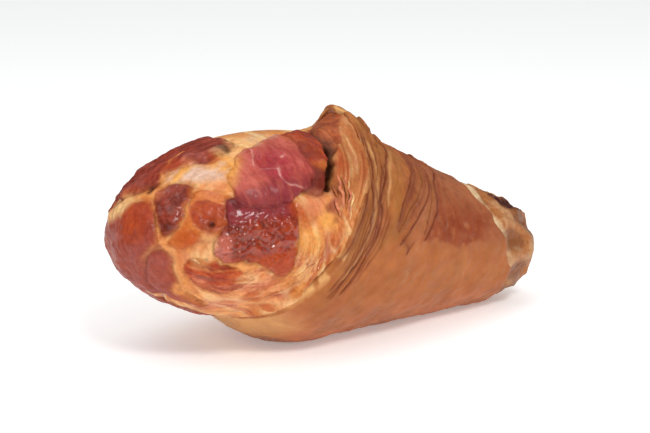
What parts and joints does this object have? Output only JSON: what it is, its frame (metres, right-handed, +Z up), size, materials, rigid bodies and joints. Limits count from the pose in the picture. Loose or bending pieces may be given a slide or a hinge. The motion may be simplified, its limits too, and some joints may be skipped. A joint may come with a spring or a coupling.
{
  "type": "smoked pork shank",
  "caption": "Smoked pork shank lying on its side, a tapering sleeve of pleated rind with bare muscle and fat bulging from its slanted wide end.",
  "frame": {"origin": "middle of the object's box, on the surface that it lies on", "axes": "+X along the shank from the meat end to the hock end, +Z up, -Y the side with the bare muscles in view"},
  "size_m": [0.2515, 0.1176, 0.1117],
  "materials": {
    "smoked_pork": "greasy smoked rind and wet cured flesh, satin with glossy patches"
  },
  "bodies": {
    "root": {"shank": "smoked_pork"}
  },
  "joints": []
}
